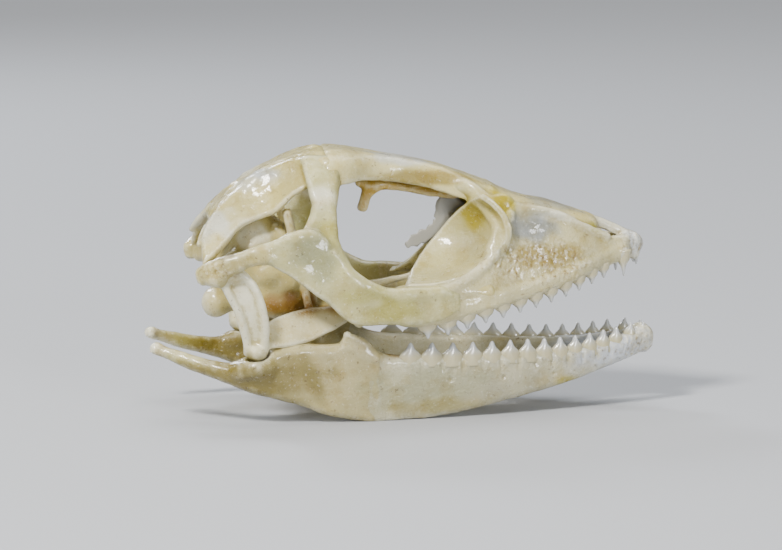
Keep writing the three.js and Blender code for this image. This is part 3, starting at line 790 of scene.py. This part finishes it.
def part_bones(blocks):
    """Each bone's share of the joined surface, and the joined surface itself, as two blocks."""
    start = np.min([block.start for block in blocks.values()], axis=0)
    stop = np.max([block.stop for block in blocks.values()], axis=0)
    joined = Block(start, np.zeros(stop - start, np.float32))
    seams = Block(start, np.zeros(stop - start, np.float32))
    weights = {}
    for order, (name, block) in enumerate(blocks.items()):
        window = joined.window(block.start, block.stop)
        joined.values[window] += np.exp(-block.values / FUSE)
        wavering = block.values.copy()
        near = np.argwhere(np.abs(wavering) < SEAM_BAND)
        places = (near + block.start) * STEP + SEAM_SHIFT * order
        wavering[tuple(near.T)] += SEAM_WAVER * seam_waver(places)
        weights[name] = np.exp(-wavering / FUSE)
        seams.values[window] += weights[name]
    shares = {}
    for name, block in blocks.items():
        window = joined.window(block.start, block.stop)
        surface = Block(block.start, -FUSE * np.log(joined.values[window] + NEARLY_NONE))
        others = np.maximum(seams.values[window] - weights[name], NEARLY_NONE)
        beyond_seam = FUSE * np.log(others / weights[name]) / 2
        diving = surface.values + DIVE * np.maximum(beyond_seam, 0)
        share = Block(block.start, np.maximum(diving, beyond_seam - LAP))
        shares[name] = share, surface
    return shares


# Colours

def srgb(red, green, blue):
    """Screen colour as linear light."""
    value = np.array([red, green, blue]) / 255
    return np.where(value < 0.04045, value / 12.92, ((value + 0.055) / 1.055) ** 2.4)


BASE_COLOUR = {
    "frontal": srgb(222, 215, 176), "parietal": srgb(212, 203, 152), "nasals": srgb(216, 208, 166),
    "premaxilla": srgb(222, 219, 203), "maxilla": srgb(217, 211, 178), "prefrontal": srgb(216, 210, 170),
    "jugal": srgb(210, 206, 166), "postorbital": srgb(210, 206, 166), "squamosal": srgb(208, 200, 156),
    "quadrate": srgb(228, 224, 200), "braincase": srgb(212, 203, 156), "vomer": srgb(204, 193, 148),
    "orbitosphenoid": srgb(204, 182, 106), "palatine": srgb(214, 205, 160),
    "pterygoid": srgb(222, 215, 184), "ectopterygoid": srgb(208, 197, 150),
    "epipterygoid": srgb(208, 198, 152),
    "dentary": srgb(208, 204, 182), "surangular": srgb(204, 196, 160), "coronoid": srgb(206, 199, 166),
}
GREY_OLIVE = srgb(176, 176, 142)
GOLD = srgb(194, 182, 36)
OCHRE = srgb(184, 168, 100)
SLATE = srgb(172, 176, 180)
RUST = srgb(172, 136, 46)
MOSS = srgb(190, 184, 104)
HONEY = srgb(182, 168, 94)
CHALK = srgb(238, 236, 222)
TAN = srgb(158, 146, 78)
UMBER = srgb(112, 94, 52)
FROST = srgb(212, 215, 220)
DENTINE = srgb(214, 208, 182)
SMOKE = srgb(150, 147, 134)
STRAW = srgb(220, 200, 118)
IVORY = srgb(246, 242, 226)
DIRT = srgb(140, 112, 58)
GRIT = srgb(240, 236, 218)
SAND = srgb(186, 160, 84)
StainOrPaintedLight = namedtuple("StainOrPaintedLight", "place size colour strength")
# Stains of the bone, and among them patches of painted highlight, painted light and painted rim-light
# reflection
STAINS_AND_PAINTED_LIGHT = [
    StainOrPaintedLight((-5.3, 6.2, 9.2), (1.6, 1.2, 1.3), GREY_OLIVE, 0.8),
    StainOrPaintedLight((5, 2.8, 11.5), (0.9, 1.2, 0.85), GOLD, 1),
    StainOrPaintedLight((3.7, 1.9, 10.8), (0.9, 1.3, 1.1), GOLD, 0.9),
    StainOrPaintedLight((8.2, 3.3, 8.7), (2.6, 0.9, 0.8), OCHRE, 0.75),
    StainOrPaintedLight((7.1, 2.9, 10.3), (1.9, 0.8, 0.9), SLATE, 0.8),
    StainOrPaintedLight((-5.8, 3.3, 6.2), (2.6, 1.2, 0.7), RUST, 0.85),
    StainOrPaintedLight((-0.4, 4.6, 4), (1.2, 0.6, 0.5), RUST, 0.7),
    StainOrPaintedLight((-1.6, 5.9, 6.1), (1.9, 0.7, 0.7), MOSS, 0.85),
    # painted light: lifts the braincase side that lies in shade under the parietal
    StainOrPaintedLight((-8.5, 2.6, 10), (1.2, 1.2, 1), CHALK, 0.8),
    StainOrPaintedLight((9, 2.5, 1.62), (1, 0.7, 0.3), GOLD, 0.75),
    StainOrPaintedLight((-8.6, 6, 2.9), (0.7, 0.7, 0.45), UMBER, 0.45),
    StainOrPaintedLight((-9.9, 6.4, 9.3), (1.2, 0.4, 0.2), UMBER, 0.6),
    StainOrPaintedLight((11.7, 1.4, 3.2), (3.4, 2.2, 1.7), FROST, 0.95),
    StainOrPaintedLight((12.9, 0.4, 9), (0.9, 1.4, 0.9), FROST, 0.7),
    StainOrPaintedLight((1.5, 4.8, 1.6), (5, 1.2, 1.4), GREY_OLIVE, 0.45),
    StainOrPaintedLight((-11.9, 4.2, 3.3), (1.8, 1.4, 0.9), MOSS, 0.6),
    StainOrPaintedLight((-4.3, 5.5, 10.3), (0.7, 0.9, 0.9), MOSS, 0.5),
    StainOrPaintedLight((-2.7, 6.3, 7.1), (1.3, 0.7, 0.6), MOSS, 0.5),
    StainOrPaintedLight((1, 1.7, 12.8), (3.4, 0.6, 0.45), HONEY, 0.9),
    StainOrPaintedLight((2.5, 4.6, 0.7), (4, 1, 0.5), HONEY, 0.4),
    StainOrPaintedLight((-10.7, 0, 6), (0.6, 1.1, 0.9), CHALK, 0.7),
    StainOrPaintedLight((-13.9, 3, 4), (0.5, 0.6, 0.6), CHALK, 0.8),
    StainOrPaintedLight((-9.4, 5, 2.5), (5, 2, 1.7), TAN, 0.85),
    StainOrPaintedLight((-7.5, 1.6, 13.2), (2.2, 0.5, 0.4), SLATE, 0.6),
    # painted rim-light reflection along the parietal's top edge
    StainOrPaintedLight((-8.5, 1.3, 12.9), (3.6, 1.1, 0.6), FROST, 0.5),
    # painted highlight along the ridge above the maxilla
    StainOrPaintedLight((8.6, 2.2, 10.7), (3, 0.5, 0.4), CHALK, 0.6),
    StainOrPaintedLight((8.6, 0.9, 11.2), (3.6, 1.2, 0.5), SLATE, 0.5),
    StainOrPaintedLight((10.8, 1.5, 10), (0.8, 0.5, 0.35), MOSS, 0.7),
    # painted highlight on the top of the postorbital bar
    StainOrPaintedLight((-4.7, 4, 12.1), (0.8, 1.1, 0.9), CHALK, 0.75),
    # painted rim-light reflection along the frontal's top edge
    StainOrPaintedLight((0.4, 0.8, 13.9), (4.5, 1.3, 0.4), FROST, 0.6),
    # painted rim-light reflection along the parietal's rear edge
    StainOrPaintedLight((-10.4, 3, 10.5), (1.2, 1.6, 1.1), FROST, 0.6),
    StainOrPaintedLight((-9, 6.2, 6.6), (0.5, 0.5, 1.8), CHALK, 0.5),
]
RICHNESS = 1.7  # deepens every tint
RAGGED = 0.25  # how uneven the edges of stains and painted light patches are
CLOUDED = 0.09  # how much a bone's colour drifts
# strength of the painted highlight on bulging ridges
RIDGE_HIGHLIGHT = 0.5
# strength of the painted shade in hollows
HOLLOW_SHADE = 0.55
RELIEF_REACH = 0.21  # how far apart points are compared for bulges and hollows
CRUMB = 0.05  # loose parts below this share of the largest are dropped
blotch = ripple(1.1)
cloud = ripple(3.5)


def mix(colours, other, share):
    return colours + (other - colours) * np.clip(share, 0, 1)[:, None]


def paint(points, base, relief):
    """Tint of each point: stains and painted light patches with ragged edges, a painted highlight on
    bulging ridges, painted shade in hollows.
    """
    half = np.abs(points) * (0, 1, 0) + points * (1, 0, 1)
    ragged = RAGGED * blotch(points)
    tint = np.tile(base, (len(points), 1)) * (1 + CLOUDED * cloud(points))[:, None]
    for stain_or_light in STAINS_AND_PAINTED_LIGHT:
        reach = np.linalg.norm((half - stain_or_light.place) / stain_or_light.size, axis=1) + ragged
        tint = mix(tint, stain_or_light.colour, stain_or_light.strength * smoothstep(1.3, 0.5, reach))
    # painted highlight: bulges are paled towards chalk
    tint = mix(tint, CHALK, RIDGE_HIGHLIGHT * smoothstep(1.2, 5, relief))
    # painted shade: hollows are darkened towards honey
    return mix(tint, HONEY, HOLLOW_SHADE * smoothstep(0.8, 5, -relief)) ** RICHNESS


def relief_of(values):
    """How sharply a surface bulges (above zero) or hollows (below zero)."""
    reach = max(1, round(RELIEF_REACH / STEP))
    total = -6 * values
    for axis in range(3):
        total = total + np.roll(values, reach, axis) + np.roll(values, -reach, axis)
    return total / (reach * STEP) ** 2


# Meshes

def largest_parts(points, quads):
    """Drops crumbs that a seam has cut off."""
    label = np.arange(len(points))
    while True:
        lowest = label.copy()
        np.minimum.at(lowest, quads.ravel(), np.repeat(label[quads].min(axis=1), 4))
        lowest = lowest[lowest]
        if (lowest == label).all():
            break
        label = lowest
    sizes = np.bincount(label, minlength=len(points))
    kept = sizes[label] > CRUMB * sizes.max()
    number = np.cumsum(kept) - 1
    return points[kept], number[quads[kept[quads[:, 0]]]], kept


def make_piece(name, points, faces, tint, material, nodes):
    """A smooth mesh with its tint, dressed and tied to the frame."""
    mesh = bpy.data.meshes.new(name)
    mesh.from_pydata(points * MM, [], faces)
    mesh.shade_smooth()
    colours = mesh.attributes.new("tint", "FLOAT_COLOR", "POINT")
    grain = coarseness(points)[:, None]
    colours.data.foreach_set("color", np.hstack([tint, grain]).ravel())
    mesh.materials.append(material)
    piece = bpy.data.objects.new(name, mesh)
    bpy.context.scene.collection.objects.link(piece)
    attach(piece, "root")
    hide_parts(*nodes)
    return piece


SIDES = {"left": 1, "right": -1}


def make_bone(name, share, surface, paired):
    """A bone's mesh, or its left and right meshes."""
    slot = SLOTS.get(name, "bone")
    if paired:
        side = MIDLINE_GAP - STEP * np.arange(share.start[1], share.stop[1])
        values, start = np.maximum(share.values, side[None, :, None]), share.start
        joined = surface.values
    else:
        values, start = whole(share)
        joined, start = whole(surface)
    points, quads = surface_of(settled(values), start)
    points, quads, kept = largest_parts(points, quads)
    index = np.rint(points / STEP - start).astype(int)
    relief = relief_of(joined)[tuple(index.T)]
    tint = paint(points, BASE_COLOUR[name], relief)
    if not paired:
        make_piece(name + "_bone", points, quads, tint, MATERIALS[slot], [name])
        return
    for side, sign in SIDES.items():
        node = f"{name}_{side}"
        faces = quads if sign > 0 else quads[:, ::-1]
        make_piece(node + "_bone", points * (1, sign, 1), faces, tint, MATERIALS[slot], [node])


# Teeth

RING = 20  # points around a tooth
LEVELS = 16  # rings from root to tip
LAST_RING = 0.985  # how near the tip the last ring lies
SHOULDER_SOFT = 0.15  # how gently a shoulder ends
SHOULDER = 0.34  # share of a tooth's length that ends at its shoulders
BLUNT = 0.05  # half-thickness left at a tooth's tip
Tooth = namedtuple("Tooth", "base way height length depth sunk flare shoulder")


def crown(tooth, along):
    """Points, faces and tip share of one pointed, flattened tooth with a flared base."""
    way = unit(np.array(tooth.way, float))
    along = unit(along - (along @ way) * way)
    out = np.cross(way, along)
    share = np.linspace(0, LAST_RING, LEVELS)
    shoulder = smoothstep(tooth.shoulder + SHOULDER_SOFT, tooth.shoulder - SHOULDER_SOFT, share)
    taper = (1 - SHOULDER) * (1 - share) ** tooth.flare + SHOULDER * shoulder
    angles = np.linspace(0, 2 * np.pi, RING, endpoint=False)
    lift = share * (tooth.height + tooth.sunk) - tooth.sunk
    centres = np.array(tooth.base) + lift[:, None] * way
    length = tooth.length * taper + BLUNT
    depth = tooth.depth * np.sqrt(np.maximum(1 - share**1.6, 0)) + BLUNT
    rings = centres[:, None] + (length[:, None] * np.cos(angles))[..., None] * along
    rings = rings + (depth[:, None] * np.sin(angles))[..., None] * out
    tip = np.array(tooth.base) + (tooth.height + BLUNT / 2) * way
    points = np.vstack([rings.reshape(-1, 3), tip, centres[0]])
    faces = []
    for level in range(LEVELS - 1):
        for i in range(RING):
            a, b = level * RING + i, level * RING + (i + 1) % RING
            faces.append((a, b, b + RING, a + RING))
    top = (LEVELS - 1) * RING
    for i in range(RING):
        faces.append((top + i, top + (i + 1) % RING, top + RING))
        faces.append(((i + 1) % RING, i, top + RING + 1))
    shares = np.append(np.repeat(share, RING), (1, 0))
    return points, faces, shares


def upper_row():
    teeth = []
    for i, x in enumerate(UPPER_TEETH):
        base = (x, cheek_width(x) - 0.3, gum_line(x) - 0.06)
        height = 0.62 + 0.008 * i
        teeth.append(Tooth(base, (0.08, 0.05, -1), height, 0.56 * UPPER_PITCH[i], 0.24, 0.2, 1, 0.57))
    return teeth


def lower_row():
    teeth = []
    for i, x in enumerate(LOWER_TEETH):
        base = (x, jaw_width(x) + 0.1, jaw_top(x) - 0.3)
        height = 0.92 + 0.008 * i
        teeth.append(Tooth(base, (0.02, 0.02, 1), height, 0.64 * LOWER_PITCH[i], 0.24, 0.3, 0.75, 0.64))
    teeth.append(Tooth((12.55, 0.95, 3.75), (0.12, 0, 1), 0.85, 0.4, 0.26, 0.2, 0.9, 0.7))
    teeth.append(Tooth((13.35, 0.45, 3.95), (0.15, 0, 1), 0.6, 0.32, 0.22, 0.2, 0.9, 0.7))
    return teeth


def front_row():
    teeth = []
    for sign in SIDES.values():
        fang = Tooth((12.1, 1.22 * sign, 8.5), (0.05, 0.05 * sign, -1), 1.25, 0.46, 0.32, 0.2, 1.1, 0.5)
        nipper = Tooth((12.85, 0.42 * sign, 8.5), (0.25, 0, -1), 0.72, 0.34, 0.26, 0.2, 0.9, 0.6)
        teeth += [fang, nipper]
    return teeth


def make_teeth(name, teeth, sign, node):
    points, faces, shares = [], [], []
    count = 0
    for tooth in teeth:
        base = np.array(tooth.base)
        along = np.array((1, -0.25, 0.1)) if base[0] < 12 else np.array((1, 0, 0.2))
        corner, skin, share = crown(tooth, along)
        points.append(corner * (1, sign, 1))
        faces += [tuple(count + i for i in (face if sign > 0 else face[::-1])) for face in skin]
        shares.append(share)
        count += len(corner)
    points = np.vstack(points)
    shares = np.concatenate(shares)
    frosted = 0.8 * smoothstep(0.35, 0.85, shares)
    tint = mix(np.tile(DENTINE, (count, 1)), FROST, frosted) ** RICHNESS
    make_piece(name, points, faces, tint, MATERIALS["enamel"], [node])


SHEET_ROWS = 26
SHEET_COLUMNS = 7
SHEET_THICKNESS = 0.06


def make_septum():
    """The torn, thin sheet left between the two eye openings."""
    rows = smooth_rows(
        [(2.9, 11.7, 0.75), (2.35, 10.9, 0.5), (2.2, 10.2, 0.42), (1.65, 9.65, 0.36), (0.85, 9.25, 0.34),
         (0.25, 8.9, 0.12)],
        SHEET_ROWS,
    )
    across = np.linspace(-1, 1, SHEET_COLUMNS)
    way = unit(np.gradient(rows[:, :2], axis=0))
    row = np.arange(SHEET_ROWS)
    torn = 1 + 0.18 * np.sin(row * 1.9) + 0.1 * np.sin(row * 4.3)
    spread = (rows[:, 2] * torn)[:, None] * across
    x = rows[:, :1] - way[:, 1:] * spread
    z = rows[:, 1:2] + way[:, :1] * spread
    y = 0.12 * np.sin(1.7 * x + 0.6) * np.cos(1.3 * z)
    points = np.stack([x, y, z], axis=2).reshape(-1, 3)
    corners = [r * SHEET_COLUMNS + c for r in range(SHEET_ROWS - 1) for c in range(SHEET_COLUMNS - 1)]
    faces = [(a, a + 1, a + 1 + SHEET_COLUMNS, a + SHEET_COLUMNS) for a in corners]
    tint = np.tile(SMOKE, (len(points), 1))
    piece = make_piece(
        "septum_sheet", points, faces, tint, MATERIALS["sheet"], ["orbitosphenoid"])
    skin = piece.modifiers.new("skin", "SOLIDIFY")
    skin.thickness = SHEET_THICKNESS * MM
    skin.offset = 0


# Materials

def new_material(name):
    material = bpy.data.materials.new(name)
    material.use_nodes = True
    return material, material.node_tree.nodes["Principled BSDF"]


def set_sockets(node, values):
    for socket, value in values.items():
        node.inputs[socket].default_value = value


def painted_tint(material):
    """Outputs of a node that reads the painted tint."""
    tint = material.node_tree.nodes.new("ShaderNodeAttribute")
    tint.attribute_name = "tint"
    return tint.outputs


BUMP_HEIGHT = 0.08


def bone_material(name, roughness, subsurface, grain):
    """Dry bone: waxy body, fine grain, tiny specks and a patchy sheen."""
    material, shader = new_material(name)
    nodes, links = material.node_tree.nodes, material.node_tree.links
    tint = painted_tint(material)
    place = nodes.new("ShaderNodeTexCoord")

    def noise(scale, detail, spread=0.6):
        texture = nodes.new("ShaderNodeTexNoise")
        set_sockets(texture, {"Scale": scale / MM, "Detail": detail, "Roughness": spread})
        links.new(place.outputs["Object"], texture.inputs["Vector"])
        return texture.outputs["Fac"]

    def ranged(value, low, high, to_low, to_high):
        step = nodes.new("ShaderNodeMapRange")
        set_sockets(step, {"From Min": low, "From Max": high, "To Min": to_low, "To Max": to_high})
        links.new(value, step.inputs["Value"])
        return step.outputs["Result"]

    def tinted(colour, mode, share, other):
        blend_node = nodes.new("ShaderNodeMix")
        blend_node.data_type = "RGBA"
        blend_node.blend_type = mode
        blend_node.inputs["B"].default_value = (*other, 1)
        links.new(share, blend_node.inputs["Factor"])
        links.new(colour, blend_node.inputs["A"])
        return blend_node.outputs["Result"]

    def granular(value, low, high, share):
        """A noise that only shows where the bone is granular."""
        product = nodes.new("ShaderNodeMath")
        product.operation = "MULTIPLY"
        links.new(ranged(value, low, high, 0, share), product.inputs[0])
        links.new(tint["Alpha"], product.inputs[1])
        return product.outputs["Value"]

    straw = ranged(noise(0.9, 5), 0.48, 0.72, 0, 0.6)
    flecks = ranged(noise(6.5, 3), 0.6, 0.75, 0, 0.3)
    dirt = ranged(noise(3.2, 4, 0.75), 0.61, 0.7, 0, 0.75)
    colour = tinted(tint["Color"], "MULTIPLY", straw, STRAW)
    colour = tinted(colour, "MIX", flecks, IVORY)
    colour = tinted(colour, "MULTIPLY", dirt, DIRT)
    colour = tinted(colour, "MIX", granular(noise(5, 2), 0.5, 0.68, 0.4), GRIT)
    colour = tinted(colour, "MULTIPLY", granular(noise(3.2, 3), 0.5, 0.66, 0.7), SAND)
    links.new(colour, shader.inputs["Base Color"])
    sheen = ranged(noise(1.6, 4), 0.3, 0.7, roughness - 0.1, roughness + 0.16)
    links.new(sheen, shader.inputs["Roughness"])
    bumps = (("Normal", 6, 5, grain), ("Coat Normal", 2.6, 2, grain * 0.5))
    for target, scale, detail, strength in bumps:
        bump = nodes.new("ShaderNodeBump")
        set_sockets(bump, {"Strength": strength, "Distance": BUMP_HEIGHT * MM})
        links.new(noise(scale, detail), bump.inputs["Height"])
        links.new(bump.outputs["Normal"], shader.inputs[target])
    set_sockets(shader, {
        "Subsurface Weight": subsurface, "Subsurface Radius": (1, 0.9, 0.65),
        "Subsurface Scale": 0.5 * MM, "Coat Weight": 0.6, "Coat Roughness": 0.1,
    })
    return material


def enamel_material():
    """Teeth: glossy, with light under the surface."""
    material, shader = new_material("enamel")
    material.node_tree.links.new(painted_tint(material)["Color"], shader.inputs["Base Color"])
    set_sockets(shader, {
        "Roughness": 0.25, "Subsurface Weight": 0.5, "Subsurface Radius": (1, 0.9, 0.8),
        "Subsurface Scale": 0.3 * MM, "Coat Weight": 0.8, "Coat Roughness": 0.08,
    })
    return material


def sheet_material():
    """Dried membrane that lets some light through."""
    material, shader = new_material("sheet")
    material.node_tree.links.new(painted_tint(material)["Color"], shader.inputs["Base Color"])
    set_sockets(shader, {"Roughness": 0.35, "Alpha": 0.75})
    return material


SLOTS = {
    "premaxilla": "tooth_bone", "maxilla": "tooth_bone", "dentary": "tooth_bone",
    "braincase": "stained_bone", "vomer": "stained_bone", "orbitosphenoid": "stained_bone",
    "palatine": "stained_bone", "pterygoid": "stained_bone", "ectopterygoid": "stained_bone",
    "epipterygoid": "stained_bone",
}
MATERIALS = {
    "bone": bone_material("bone", 0.32, 0.3, 0.6),
    "tooth_bone": bone_material("tooth_bone", 0.3, 0.3, 0.7),
    "stained_bone": bone_material("stained_bone", 0.4, 0.25, 0.6),
    "enamel": enamel_material(),
    "sheet": sheet_material(),
}


# The skull

def make_skull():
    cranium = {name: build() for name, build in (MIDLINE | CHEEKS).items()}
    for name, (share, surface) in part_bones(cranium).items():
        make_bone(name, share, surface, name in CHEEKS)
    jaw = {name: build() for name, build in JAW.items()}
    for name, (share, surface) in part_bones(jaw).items():
        make_bone(name, share, surface, True)
    make_teeth("premaxilla_teeth", front_row(), 1, "premaxilla")
    for side, sign in SIDES.items():
        make_teeth(f"maxilla_teeth_{side}", upper_row(), sign, f"maxilla_{side}")
        make_teeth(f"dentary_teeth_{side}", lower_row(), sign, f"dentary_{side}")
    make_septum()


# Stage

FLOOR_SIZE = 3.0
FLOOR_COLOUR = (0.42, 0.43, 0.45, 1)


def make_floor():
    half = FLOOR_SIZE / 2
    mesh = bpy.data.meshes.new("floor")
    corners = [(-half, -half, 0), (half, -half, 0), (half, half, 0), (-half, half, 0)]
    mesh.from_pydata(corners, [], [(0, 1, 2, 3)])
    material, shader = new_material("floor")
    set_sockets(shader, {"Base Color": FLOOR_COLOUR, "Roughness": 0.85})
    mesh.materials.append(material)
    floor = bpy.data.objects.new("floor", mesh)
    bpy.context.scene.collection.objects.link(floor)


VIEW_TARGET = Vector((-0.57, 0, 7.31)) * MM
VIEW_DISTANCE = 200 * MM
VIEW_YAW = math.radians(6.5)
VIEW_DROP = math.radians(7.5)
VIEW_LENS = 167.57
VIEW_SENSOR = 36


def make_camera():
    ahead = Vector((
        math.sin(VIEW_YAW) * math.cos(VIEW_DROP),
        math.cos(VIEW_YAW) * math.cos(VIEW_DROP),
        -math.sin(VIEW_DROP),
    ))
    lens = bpy.data.cameras.new("camera")
    lens.lens = VIEW_LENS
    lens.sensor_width = VIEW_SENSOR
    lens.clip_start = 0.01
    camera = bpy.data.objects.new("camera", lens)
    camera.location = VIEW_TARGET - ahead * VIEW_DISTANCE
    camera.rotation_euler = ahead.to_track_quat("-Z", "Y").to_euler()
    bpy.context.scene.collection.objects.link(camera)
    bpy.context.scene.camera = camera


Light = namedtuple("Light", "name place size power colour")
LIGHTS = [
    Light("key", (-0.13, -0.15, 0.2), 0.05, 1.25, (1, 0.98, 0.94)),
    Light("fill", (0.12, -0.26, 0.07), 0.06, 0.45, (0.95, 0.97, 1)),
    Light("rim", (-0.1, 0.22, 0.16), 0.06, 0.4, (0.88, 0.93, 1)),
    Light("top", (0.1, 0.3, 1.2), 1.0, 13, (1, 1, 1)),
]
SKY_COLOUR = (0.93, 0.96, 1, 1)
SKY_STRENGTH = 0.2


def make_light(name, place, size, power, colour):
    """A soft square light that faces the skull."""
    lamp = bpy.data.lights.new(name, "AREA")
    lamp.size = size
    lamp.energy = power
    lamp.color = colour
    light = bpy.data.objects.new(name, lamp)
    light.location = Vector(place)
    light.rotation_euler = (VIEW_TARGET - light.location).to_track_quat("-Z", "Y").to_euler()
    bpy.context.scene.collection.objects.link(light)


def make_world():
    world = bpy.data.worlds.new("studio")
    world.use_nodes = True
    set_sockets(world.node_tree.nodes["Background"], {"Color": SKY_COLOUR, "Strength": SKY_STRENGTH})
    bpy.context.scene.world = world


make_skull()
make_floor()
make_camera()
make_world()
for light in LIGHTS:
    make_light(*light)
